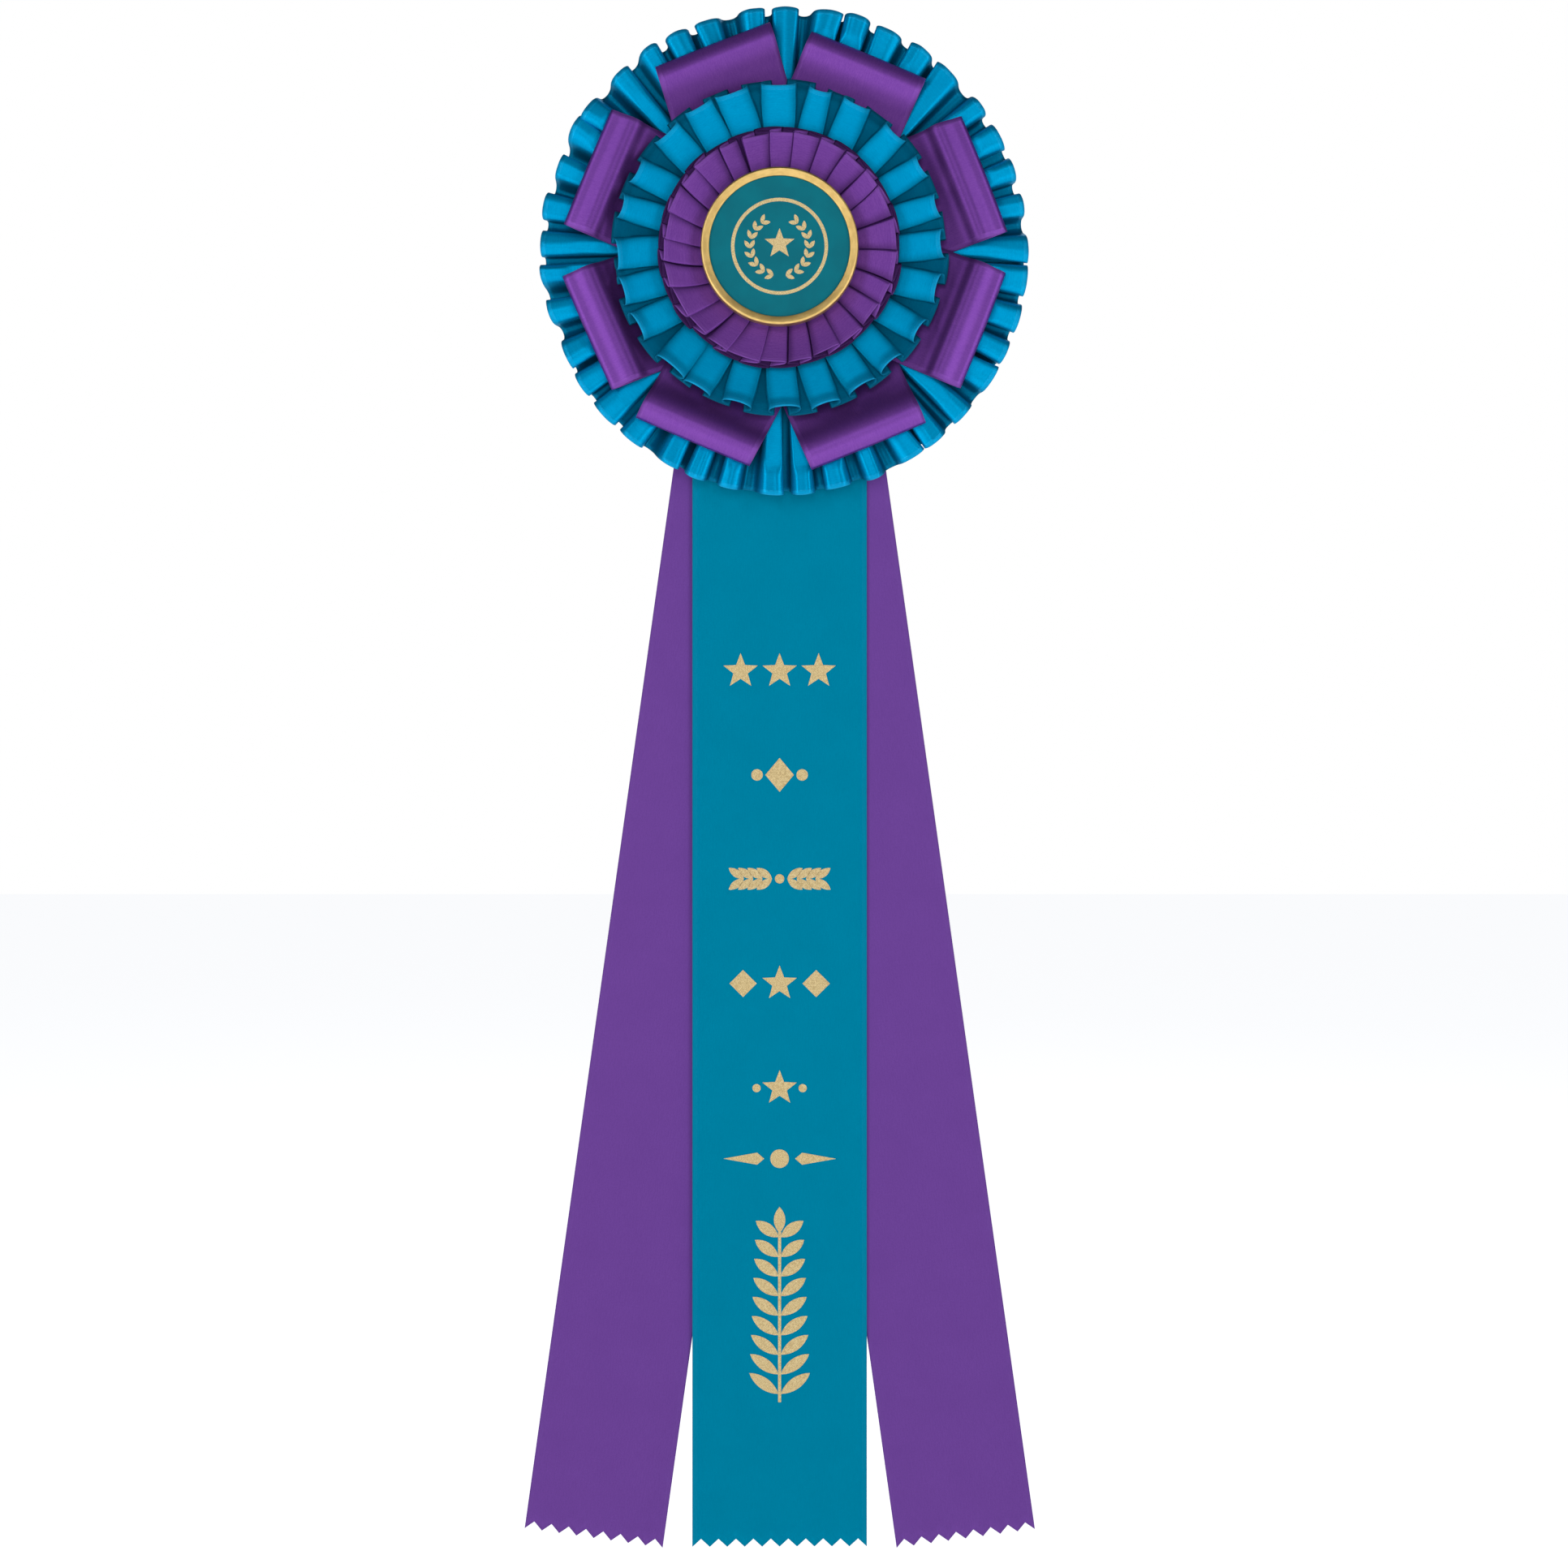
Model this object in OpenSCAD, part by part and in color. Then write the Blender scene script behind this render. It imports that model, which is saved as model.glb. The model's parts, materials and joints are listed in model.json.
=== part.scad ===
// Award ribbon: a three-tier pleated rosette with a button, folded petals, three streamers
// and a bar pin. Millimetres. Upright, +Z up, the front faces -Y, and the origin lies on the
// axis of the pin needle, behind the rosette.

/* [Rosette] */
// Radius over the crests of the outer ruffle
rosette_r = 88.5; // [87:0.5:92]
// Width of the outer ruffle's ribbon
outer_ribbon_w = 50.8; // [49:0.2:51.4]
// Number of pleats in the outer ruffle
outer_pleats = 41; // [36:1:44]
// Radius of the folds of the petals
petal_fold_r = 76.5; // [74:0.5:78]
// Width of the petals' ribbon
petal_w = 44.45; // [40:0.05:46]
// Radius of the middle ruffle
middle_r = 60.3; // [58:0.1:61]
// Width of the middle ruffle's ribbon
middle_ribbon_w = 31.75; // [30:0.05:33]
// Number of pleats in the middle ruffle
middle_pleats = 24; // [20:1:28]
// Radius of the inner ruffle
inner_r = 43.3; // [42:0.1:44]
// Width of the inner ruffle's ribbon
inner_ribbon_w = 19.05; // [17:0.05:19.5]
// Number of pleats in the inner ruffle
inner_pleats = 26; // [22:1:30]

/* [Button] */
// Outer radius of the metal rim
rim_r = 28.3; // [27:0.1:30]
// Radius of the opening that shows the face
rim_open_r = 25.2; // [24:0.1:25.6]

/* [Streamers] */
// Width of the centre streamer
centre_w = 63.5; // [57:0.5:64]
// Distance from the rosette's centre to the tips of the centre streamer
centre_drop = 470; // [300:5:520]
// Width of each side streamer
side_w = 50.8; // [44:0.2:51]
// Length of a side streamer below the point where the two cross
side_len = 487; // [300:1:530]
// Tilt of each side streamer
side_tilt = 8; // [5:0.5:9]
// Pitch of the pinked teeth
tooth_pitch = 6.35; // [5:0.05:8]
// Depth of the pinked teeth
tooth_depth = 2.9; // [2:0.1:4]

/* [Pin] */
// Height of the pin needle above the rosette's centre
pin_up = 24; // [18:1:28]
// Radius of the needle's shaft
needle_r = 0.45; // [0.4:0.01:0.5]

/* [Hidden] */
$fn = 64;

// How far a cutter reaches past the face it cuts, and how deep joined pieces sink together
through = 1;
sunk = 0.1;

// Stack of flat layers, counted forward from the back card's rear face
glue = 0.05;
card_r = 44;
back_card_t = 0.8;
clinch_room = 0.65;
ribbon_t = 0.4;
ribbon_gap = 0.3;
left_h = back_card_t + clinch_room;
right_h = left_h + ribbon_t + ribbon_gap;
centre_h = right_h + ribbon_t + ribbon_gap;
base_h = centre_h + ribbon_t + glue;
base_card_t = 1.2;
base_top = base_h + base_card_t;
spacer_r = 33;
spacer_t = 3.9;
spacer_h = base_top + glue;
spacer_top = spacer_h + spacer_t;

// The outer ruffle and the petals are stitched a little to the right of the button
skirt_x = 1.8;

// Ruffles: height of the mid surface and half height of the pleats, at the inner and outer edge
ruffle_t = 0.5;
outer_mid = [base_top + 1.4, base_top + 3.0];
outer_half = [0.6, 2.9];
outer_scallop = 3.5;
middle_mid = [base_top + 5.1, base_top + 10.1];
middle_half = [0.6, 2.2];
middle_scallop = 1.2;
inner_mid = [base_top + 7.3, base_top + 12.1];
inner_half = [0.5, 1.6];
inner_scallop = 1.5;
round_wave = [0, 0.87, 0.87, 0, -0.87, -0.87];
box_wave = [1, 1, -1, -1];

// Petals: a folded loop of ribbon, drawn as its section along the petal
petal_in = 36.5;
petal_count = 8;
petal_step = 360 / petal_count;
petal_apex = 0.4;
sector_past = 5;
sector_top = 30;
petal_section = [
    // share of the way to the fold, height above the base card
    [0, 2.9], [0.95, 5.94], [0.992, 6.7], [1, 7.5], [0.992, 8.4], [0.962, 9.05], [0.84, 9.0],
    [0.6, 7.0], [0.34, 5.3], [0, 4.2],
    [0, 3.8], [0.34, 4.9], [0.6, 6.55], [0.84, 8.55], [0.957, 8.6], [0.98, 8.1], [0.9875, 7.5],
    [0.98, 7.0], [0.945, 6.4], [0, 3.35]
];

// Button
pad_r = 23;
pad_h = spacer_top + glue;
board_h = base_top + 10.7;
board_t = 2.0;
face_t = 0.5;
face_h = board_h + board_t + glue;
lip_h = face_h + face_t + glue;
rim_wall = 0.6;
rim_crown = 1.7;
rim_shoulder = 0.5;
rim_lip_t = 0.4;
crown_in = 1.2;
crown_drop = 0.3;
rim_room = 0.1;
insert_r = rim_r - rim_wall - rim_room;

// Streamers: each is one ribbon, stood in for by a fixed tab and a hanging length
bend_y = -91;
bend_gap = 0.6;
centre_top = 25;
side_cross_y = 15;
side_top = 12;

// Staples
wire = 0.5;
wire_room = 0.03;
staple_w = 10;
staple_x = 12;
staple_y = -22;
clinch_len = 3;
pocket_room = 0.5;
pocket_over = 0.2;
leg_low = left_h - glue - wire;

// Bar pin, drawn round the needle's axis: X along the needle, +Y to the rear
needle_off = 4.5;
pad_t = 1.0;
bar_t = 0.6;
bar_back = needle_off - pad_t - bar_t;
bar_half_z = 2.5;
bar_x = [-16, 16.5];
foam_half_x = 13;
foam_half_z = 3;
pivot_x = -14;
rivet_r = 0.5;
eye_room = 0.05;
eye_r = 1.35;
eye_half_z = 0.6;
ear_z = [0.75, 1.35];
ear_r = 1.8;
head_r = 0.95;
head_t = 0.4;
shaft_x = [-11.4, 11.0];
neck_lap = 0.5;
neck_half = 0.4;
tip_x = 15.2;
tip_r = 0.12;
housing_x = [12.0, 15.5];
housing_r = 2.2;
housing_in = 1.6;
web_half_z = 1.0;
drum_room = 0.05;
drum_in = 1.0;
drum_end = 0.1;
flange_r = 2.0;
flange_t = [0.6, 1.0];
slot_half = 0.8;
lever_r = 2.75;
lever_half = 0.45;

// Carries rosette coordinates (x right, y up, z forward) into the part's frame
module rosette_frame() {
    translate([0, -needle_off, -pin_up])
        rotate([90, 0, 0])
            children();
}

// The same for the outer ruffle and the petals
module skirt_frame() {
    rosette_frame()
        translate([skirt_x, 0, 0])
            children();
}

module disc(radius, low, thick) {
    translate([0, 0, low])
        cylinder(h = thick, r = radius, $fn = 96);
}

// A ring of pleats: wave holds one pleat's heights, from -1 in the trough to 1 on the crest
module pleated_ring(r_out, width, pleats, wave, mid, half, scallop) {
    k = len(wave);
    m = pleats * k;
    points = [
        for (i = [0 : m - 1])
            let (a = 360 * i / m, w = wave[i % k], r_o = r_out - scallop * (1 - w) / 2)
                for (edge = [0, 1], side = [-1, 1])
                    let (r = edge == 0 ? r_out - width : r_o)
                        [r * cos(a), r * sin(a), mid[edge] + half[edge] * w + side * ruffle_t / 2]
    ];
    faces = [
        for (i = [0 : m - 1])
            let (p = 4 * i, q = 4 * ((i + 1) % m))
                each [
                    [p + 1, q + 1, q + 3], [p + 1, q + 3, p + 3],
                    [p, p + 2, q + 2], [p, q + 2, q],
                    [p + 2, p + 3, q + 3], [p + 2, q + 3, q + 2],
                    [q, q + 1, p + 1], [q, p + 1, p]
                ]
    ];
    polyhedron(points = points, faces = faces, convexity = 6);
}

// One petal, mitred to its own sector so that it clears its neighbours
module petal(index) {
    far = petal_fold_r + sector_past;
    spread = (far - petal_apex) * tan(petal_step / 2);
    section = [
        for (p = petal_section)
            [petal_in + (petal_fold_r - petal_in) * p[0], base_top + p[1]]
    ];
    skirt_frame()
        rotate([0, 0, petal_step * (index - 0.5)])
            intersection() {
                rotate([90, 0, 0])
                    linear_extrude(height = petal_w, center = true)
                        polygon(section);
                linear_extrude(height = sector_top)
                    polygon([[petal_apex, 0], [far, -spread], [far, spread]]);
            }
}

// A point on a tilted ribbon: u across it, s down it from the point it is tilted about
function ribbon_point(tilt, start_y, u, s) =
    [u * cos(tilt) + s * sin(tilt), start_y + u * sin(tilt) - s * cos(tilt)];

// The distance down the ribbon's edge at which it reaches the level y
function reach(tilt, start_y, u, y) = (start_y + u * sin(tilt) - y) / cos(tilt);

module streamer_tab(tilt, start_y, width, above, low) {
    half = width / 2;
    cut = bend_y + bend_gap;
    rosette_frame()
        translate([0, 0, low])
            linear_extrude(height = ribbon_t)
                polygon([
                    ribbon_point(tilt, start_y, -half, -above),
                    ribbon_point(tilt, start_y, half, -above),
                    ribbon_point(tilt, start_y, half, reach(tilt, start_y, half, cut)),
                    ribbon_point(tilt, start_y, -half, reach(tilt, start_y, -half, cut))
                ]);
}

module streamer_tail(tilt, start_y, width, length, low) {
    half = width / 2;
    cut = bend_y - bend_gap;
    teeth = round(width / tooth_pitch);
    pinked = [
        for (i = [0 : 2 * teeth])
            ribbon_point(tilt, start_y, half - i * half / teeth, length - (i % 2) * tooth_depth)
    ];
    rosette_frame()
        translate([0, 0, low])
            linear_extrude(height = ribbon_t)
                polygon(concat(
                    [
                        ribbon_point(tilt, start_y, -half, reach(tilt, start_y, -half, cut)),
                        ribbon_point(tilt, start_y, half, reach(tilt, start_y, half, cut))
                    ],
                    pinked
                ));
}

// The wire of one staple; grow widens it into the hole it makes
module staple_legs(grow) {
    for (side = [-1, 1])
        translate([side * (staple_w - wire) / 2 - wire / 2 - grow, -wire / 2 - grow, leg_low - grow])
            cube([wire + 2 * grow, wire + 2 * grow, base_top - leg_low + wire + 2 * grow]);
}

module staple_wire(grow) {
    staple_legs(grow);
    translate([-staple_w / 2 - grow, -wire / 2 - grow, base_top])
        cube([staple_w + 2 * grow, wire + 2 * grow, wire + grow]);
    for (side = [-1, 1])
        translate([side > 0 ? staple_w / 2 - clinch_len : -staple_w / 2, -wire / 2, leg_low])
            cube([clinch_len, wire, wire]);
}

module staple(x) {
    rosette_frame()
        translate([x, staple_y, 0])
            staple_wire(0);
}

module staple_holes() {
    rosette_frame()
        for (x = [-staple_x, staple_x])
            translate([x, staple_y, 0])
                staple_legs(wire_room);
}

module staple_pockets() {
    for (x = [-staple_x, staple_x])
        translate([x - staple_w / 2 - pocket_room, staple_y - wire / 2 - pocket_room,
            spacer_h - through])
            cube([staple_w + 2 * pocket_room, wire + 2 * pocket_room,
                through + wire + pocket_over]);
}

module back_card() {
    color("whitesmoke")
        rosette_frame()
            disc(card_r, 0, back_card_t);
}

module base_card() {
    color("tan")
        difference() {
            rosette_frame()
                disc(card_r, base_h, base_card_t);
            staple_holes();
        }
}

module spacer_board() {
    color("burlywood")
        rosette_frame()
            difference() {
                disc(spacer_r, spacer_h, spacer_t);
                staple_pockets();
            }
}

module staple_left() {
    color("silver")
        staple(-staple_x);
}

module staple_right() {
    color("silver")
        staple(staple_x);
}

module outer_ruffle() {
    color("darkturquoise")
        skirt_frame()
            pleated_ring(rosette_r, outer_ribbon_w, outer_pleats, round_wave, outer_mid,
                outer_half, outer_scallop);
}

module middle_ruffle() {
    color("darkturquoise")
        rosette_frame()
            pleated_ring(middle_r, middle_ribbon_w, middle_pleats, box_wave, middle_mid,
                middle_half, middle_scallop);
}

module inner_ruffle() {
    color("mediumpurple")
        rosette_frame()
            pleated_ring(inner_r, inner_ribbon_w, inner_pleats, box_wave, inner_mid,
                inner_half, inner_scallop);
}

module petal_1() {
    color("rebeccapurple")
        petal(1);
}

module petal_2() {
    color("rebeccapurple")
        petal(2);
}

module petal_3() {
    color("rebeccapurple")
        petal(3);
}

module petal_4() {
    color("rebeccapurple")
        petal(4);
}

module petal_5() {
    color("rebeccapurple")
        petal(5);
}

module petal_6() {
    color("rebeccapurple")
        petal(6);
}

module petal_7() {
    color("rebeccapurple")
        petal(7);
}

module petal_8() {
    color("rebeccapurple")
        petal(8);
}

module button_pad() {
    color("gray")
        rosette_frame()
            disc(pad_r, pad_h, board_h - glue - pad_h);
}

module button_board() {
    color("tan")
        rosette_frame()
            disc(insert_r, board_h, board_t);
}

module button_face() {
    color("teal")
        rosette_frame()
            disc(insert_r, face_h, face_t);
}

module button_rim() {
    color("goldenrod")
        rosette_frame()
            rotate_extrude($fn = 128)
                polygon([
                    [rim_r - rim_wall, board_h],
                    [rim_r, board_h],
                    [rim_r, lip_h + rim_shoulder],
                    [rim_r - rim_shoulder, lip_h + rim_crown - crown_drop],
                    [rim_r - crown_in, lip_h + rim_crown],
                    [rim_open_r, lip_h + rim_lip_t],
                    [rim_open_r, lip_h],
                    [rim_r - rim_wall, lip_h]
                ]);
}

module centre_tab() {
    color("darkcyan")
        difference() {
            streamer_tab(0, 0, centre_w, centre_top, centre_h);
            staple_holes();
        }
}

module centre_streamer() {
    color("darkcyan")
        streamer_tail(0, 0, centre_w, centre_drop, centre_h);
}

module left_tab() {
    color("indigo")
        difference() {
            streamer_tab(-side_tilt, side_cross_y, side_w, side_top, left_h);
            staple_holes();
        }
}

module left_streamer() {
    color("indigo")
        streamer_tail(-side_tilt, side_cross_y, side_w, side_len, left_h);
}

module right_tab() {
    color("indigo")
        difference() {
            streamer_tab(side_tilt, side_cross_y, side_w, side_top, right_h);
            staple_holes();
        }
}

module right_streamer() {
    color("indigo")
        streamer_tail(side_tilt, side_cross_y, side_w, side_len, right_h);
}

module pin_pad() {
    color("white")
        translate([-foam_half_x, -needle_off, -foam_half_z])
            cube([2 * foam_half_x, pad_t, 2 * foam_half_z]);
}

// A cylinder along X between two stations, and one along Z between two levels
module bar_x_cylinder(stations, radius) {
    translate([stations[0], 0, 0])
        rotate([0, 90, 0])
            cylinder(h = stations[1] - stations[0], r = radius);
}

module pivot_cylinder(levels, radius) {
    translate([pivot_x, 0, levels[0]])
        cylinder(h = levels[1] - levels[0], r = radius);
}

module pin_plate() {
    mid_x = (bar_x[0] + bar_x[1]) / 2;
    straight = bar_x[1] - bar_x[0] - 2 * bar_half_z;
    translate([mid_x, -bar_back, 0])
        rotate([90, 0, 0])
            linear_extrude(height = bar_t)
                union() {
                    square([straight, 2 * bar_half_z], center = true);
                    for (side = [-1, 1])
                        translate([side * straight / 2, 0])
                            circle(r = bar_half_z);
                }
}

module pin_ears() {
    for (side = [-1, 1])
        difference() {
            union() {
                pivot_cylinder(side > 0 ? ear_z : [-ear_z[1], -ear_z[0]], ear_r);
                translate([pivot_x - ear_r, -bar_back - sunk, side > 0 ? ear_z[0] : -ear_z[1]])
                    cube([2 * ear_r, bar_back + sunk, ear_z[1] - ear_z[0]]);
            }
            pivot_cylinder([-ear_z[1] - through, ear_z[1] + through], rivet_r);
        }
}

module pin_housing() {
    long = housing_x[1] - housing_x[0];
    difference() {
        union() {
            bar_x_cylinder(housing_x, housing_r);
            translate([housing_x[0], -bar_back - sunk, -web_half_z])
                cube([long, bar_back + sunk, 2 * web_half_z]);
        }
        bar_x_cylinder([housing_x[0] - through, housing_x[1] + through], housing_in);
        translate([housing_x[0] - through, 0, -slot_half])
            cube([long + 2 * through, housing_r + through, 2 * slot_half]);
    }
}

module pin_bar() {
    color("lightsteelblue")
        union() {
            pin_plate();
            pin_ears();
            pin_housing();
        }
}

module pin_rivet() {
    color("silver")
        union() {
            pivot_cylinder([-ear_z[1] - glue, ear_z[1] + glue], rivet_r);
            pivot_cylinder([ear_z[1] + glue / 2, ear_z[1] + head_t], head_r);
            pivot_cylinder([-ear_z[1] - head_t, -ear_z[1] - glue / 2], head_r);
        }
}

module pin_needle() {
    bore_r = rivet_r + eye_room;
    color("silver")
        difference() {
            union() {
                pivot_cylinder([-eye_half_z, eye_half_z], eye_r);
                translate([pivot_x, -neck_half, -neck_half])
                    cube([shaft_x[0] - pivot_x, 2 * neck_half, 2 * neck_half]);
                bar_x_cylinder([shaft_x[0] - neck_lap, shaft_x[1]], needle_r);
                translate([shaft_x[1], 0, 0])
                    rotate([0, 90, 0])
                        cylinder(h = tip_x - shaft_x[1], r1 = needle_r, r2 = tip_r);
            }
            pivot_cylinder([-eye_half_z - through, eye_half_z + through], bore_r);
        }
}

module catch_sleeve() {
    drum = [housing_x[0] - drum_end - flange_t[0], housing_x[1] + drum_end + flange_t[1]];
    color("gainsboro")
        difference() {
            union() {
                bar_x_cylinder(drum, housing_in - drum_room);
                bar_x_cylinder([drum[0], drum[0] + flange_t[0]], flange_r);
                bar_x_cylinder([drum[1] - flange_t[1], drum[1]], flange_r);
                translate([drum[1] - flange_t[1], -lever_half, -lever_r])
                    cube([flange_t[1], 2 * lever_half, lever_r]);
            }
            bar_x_cylinder([drum[0] - through, drum[1] + through], drum_in);
            translate([drum[0] - through, 0, -slot_half])
                cube([drum[1] - drum[0] + 2 * through, flange_r + through, 2 * slot_half]);
        }
}

back_card();
base_card();
spacer_board();
staple_left();
staple_right();
outer_ruffle();
middle_ruffle();
inner_ruffle();
petal_1();
petal_2();
petal_3();
petal_4();
petal_5();
petal_6();
petal_7();
petal_8();
button_pad();
button_board();
button_face();
button_rim();
centre_tab();
centre_streamer();
left_tab();
left_streamer();
right_tab();
right_streamer();
pin_pad();
pin_bar();
pin_rivet();
pin_needle();
catch_sleeve();
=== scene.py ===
import json
import math
from collections import namedtuple

import bmesh
import bpy
import numpy as np
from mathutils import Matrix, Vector


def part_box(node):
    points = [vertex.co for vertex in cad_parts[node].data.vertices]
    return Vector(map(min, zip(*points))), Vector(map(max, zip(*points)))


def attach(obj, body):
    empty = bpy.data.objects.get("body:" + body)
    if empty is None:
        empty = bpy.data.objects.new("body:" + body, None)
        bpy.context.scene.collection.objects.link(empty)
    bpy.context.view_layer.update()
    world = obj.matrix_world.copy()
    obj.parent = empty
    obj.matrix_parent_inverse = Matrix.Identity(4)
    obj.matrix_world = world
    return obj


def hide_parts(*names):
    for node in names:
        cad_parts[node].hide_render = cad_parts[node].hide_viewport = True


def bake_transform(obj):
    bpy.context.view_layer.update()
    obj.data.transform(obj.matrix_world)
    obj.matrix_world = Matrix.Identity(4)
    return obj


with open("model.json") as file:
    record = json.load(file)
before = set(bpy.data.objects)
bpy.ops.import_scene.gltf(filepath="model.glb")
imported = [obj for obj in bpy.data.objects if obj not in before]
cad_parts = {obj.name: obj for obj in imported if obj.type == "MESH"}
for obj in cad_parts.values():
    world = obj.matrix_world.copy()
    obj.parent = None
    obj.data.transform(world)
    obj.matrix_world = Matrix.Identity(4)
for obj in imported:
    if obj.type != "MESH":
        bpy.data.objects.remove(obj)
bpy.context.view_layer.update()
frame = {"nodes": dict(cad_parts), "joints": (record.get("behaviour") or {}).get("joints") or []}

MM = 0.001
TAU = 2 * math.pi

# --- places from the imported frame, in metres --------------------------------------------------
face_low, face_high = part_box("button_face")
AXIS_X = (face_low.x + face_high.x) / 2
AXIS_Z = (face_low.z + face_high.z) / 2
BACK_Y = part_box("back_card")[1].y
CENTRE_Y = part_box("centre_streamer")[0].y
LOW_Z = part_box("centre_streamer")[0].z
# the base card's front, in millimetres forward of the back card's rear
BASE = (BACK_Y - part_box("base_card")[0].y) / MM

# --- thicknesses ------------------------------------------------------------------------------
RUFFLE_T = 0.00026
RIBBON_T = 0.0003
FACE_T = 0.0005
FOIL_FACE_T = 0.00005
FOIL_RIBBON_T = 0.00006

# --- camera -----------------------------------------------------------------------------------
# The camera is level, VIEW_DROP below the rosette's axis. VIEW_HEIGHT is the height that it
# takes in at VIEW_DISTANCE, where the centre streamer hangs.
SENSOR = 36.0
VIEW_DISTANCE = 0.90
VIEW_HEIGHT = 0.5705
VIEW_DROP = 0.1925
VIEW_SHIFT_X = 0.0016

camera_data = bpy.data.cameras.new("camera")
camera_data.sensor_width = SENSOR
camera_data.lens = SENSOR * VIEW_DISTANCE / VIEW_HEIGHT
camera = bpy.data.objects.new("camera", camera_data)
camera.location = (AXIS_X + VIEW_SHIFT_X, CENTRE_Y - VIEW_DISTANCE, AXIS_Z - VIEW_DROP)
camera.rotation_euler = (math.pi / 2, 0, 0)
bpy.context.collection.objects.link(camera)
bpy.context.scene.camera = camera
bpy.context.scene.view_settings.view_transform = "Standard"
bpy.context.scene.view_settings.look = "None"


# --- materials --------------------------------------------------------------------------------
def srgb(r, g, b):
    """A colour given as 0 to 255 sRGB values, as a linear RGBA."""
    def linear(c):
        c /= 255
        return c / 12.92 if c <= 0.04045 else ((c + 0.055) / 1.055) ** 2.4
    return (linear(r), linear(g), linear(b), 1.0)


def shade(colour, factor):
    """The colour made darker or lighter by a factor, up to white."""
    return tuple(min(1.0, c * factor) for c in colour[:3]) + (1.0,)


class Nodes:
    """A material with a Principled shader, and short ways to add nodes to it."""

    def __init__(self, name, **constants):
        self.material = bpy.data.materials.new(name)
        self.material.use_nodes = True
        self.tree = self.material.node_tree
        self.shader = self.tree.nodes["Principled BSDF"]
        for socket, value in constants.items():
            self.shader.inputs[socket.replace("_", " ")].default_value = value

    def add(self, kind, **settings):
        node = self.tree.nodes.new(kind)
        for key, value in settings.items():
            setattr(node, key, value)
        return node

    def wire(self, source, target):
        self.tree.links.new(source, target)

    def feed(self, socket, value):
        if isinstance(value, bpy.types.NodeSocket):
            self.wire(value, socket)
        else:
            socket.default_value = value

    def math(self, operation, a, b=0.0):
        node = self.add("ShaderNodeMath", operation=operation)
        self.feed(node.inputs[0], a)
        self.feed(node.inputs[1], b)
        return node.outputs[0]

    def wave(self, value, pitch):
        """A sine wave along value that repeats every pitch metres."""
        return self.math("SINE", self.math("MULTIPLY", value, TAU / pitch))

    def crossed(self, vector, pitch):
        """Two sine waves multiplied, along x and along z, as in a plain weave or a fine mesh."""
        axes = self.split(vector)
        return self.math("MULTIPLY", self.wave(axes[0], pitch), self.wave(axes[2], pitch))

    def uv(self):
        return self.add("ShaderNodeUVMap", uv_map="ribbon").outputs[0]

    def position(self):
        return self.add("ShaderNodeTexCoord").outputs["Object"]

    def scaled(self, vector, x, y, z=1.0):
        node = self.add("ShaderNodeMapping")
        self.wire(vector, node.inputs["Vector"])
        node.inputs["Scale"].default_value = (x, y, z)
        return node.outputs[0]

    def split(self, vector):
        node = self.add("ShaderNodeSeparateXYZ")
        self.wire(vector, node.inputs[0])
        return node.outputs

    def noise(self, vector, scale, detail=3.0, roughness=0.5):
        node = self.add("ShaderNodeTexNoise")
        self.wire(vector, node.inputs["Vector"])
        node.inputs["Scale"].default_value = scale
        node.inputs["Detail"].default_value = detail
        node.inputs["Roughness"].default_value = roughness
        return node.outputs[0]

    def steps(self, value, low, high, out_low=0.0, out_high=1.0):
        """Goes smoothly from out_low to out_high as value goes from low to high."""
        node = self.add("ShaderNodeMapRange", interpolation_type="SMOOTHSTEP")
        self.feed(node.inputs["Value"], value)
        for name, number in (("From Min", low), ("From Max", high),
                             ("To Min", out_low), ("To Max", out_high)):
            node.inputs[name].default_value = number
        return node.outputs[0]

    def blend(self, factor, a, b):
        """The colour a where factor is 0 and b where it is 1."""
        node = self.add("ShaderNodeMix", data_type="RGBA")
        self.feed(node.inputs[0], factor)
        self.feed(node.inputs[6], a)
        self.feed(node.inputs[7], b)
        return node.outputs[2]

    def bump(self, height, distance, strength=1.0, normal=None):
        node = self.add("ShaderNodeBump")
        node.inputs["Strength"].default_value = strength
        node.inputs["Distance"].default_value = distance
        self.wire(height, node.inputs["Height"])
        if normal is not None:
            self.wire(normal, node.inputs["Normal"])
        return node.outputs[0]

    def out(self, socket, value):
        self.feed(self.shader.inputs[socket], value)


WARP_PITCH, WEFT_PITCH = 0.00042, 0.0008
STITCH_IN, STITCH_WANDER = 0.00145, 0.0003

# run is the length of ribbon in one fold and front is the middle of its front; start and end are
# how far from there the painted shade begins and ends to darken the colour, all in shares of the
# run; the last two are how dark that painted shade is at v = 0 and at v = width. It stands for
# the shade in the hollows between pleats and under whatever lies over the ribbon
FoldShade = namedtuple("FoldShade", "run front start end depth_in depth_out")


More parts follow.
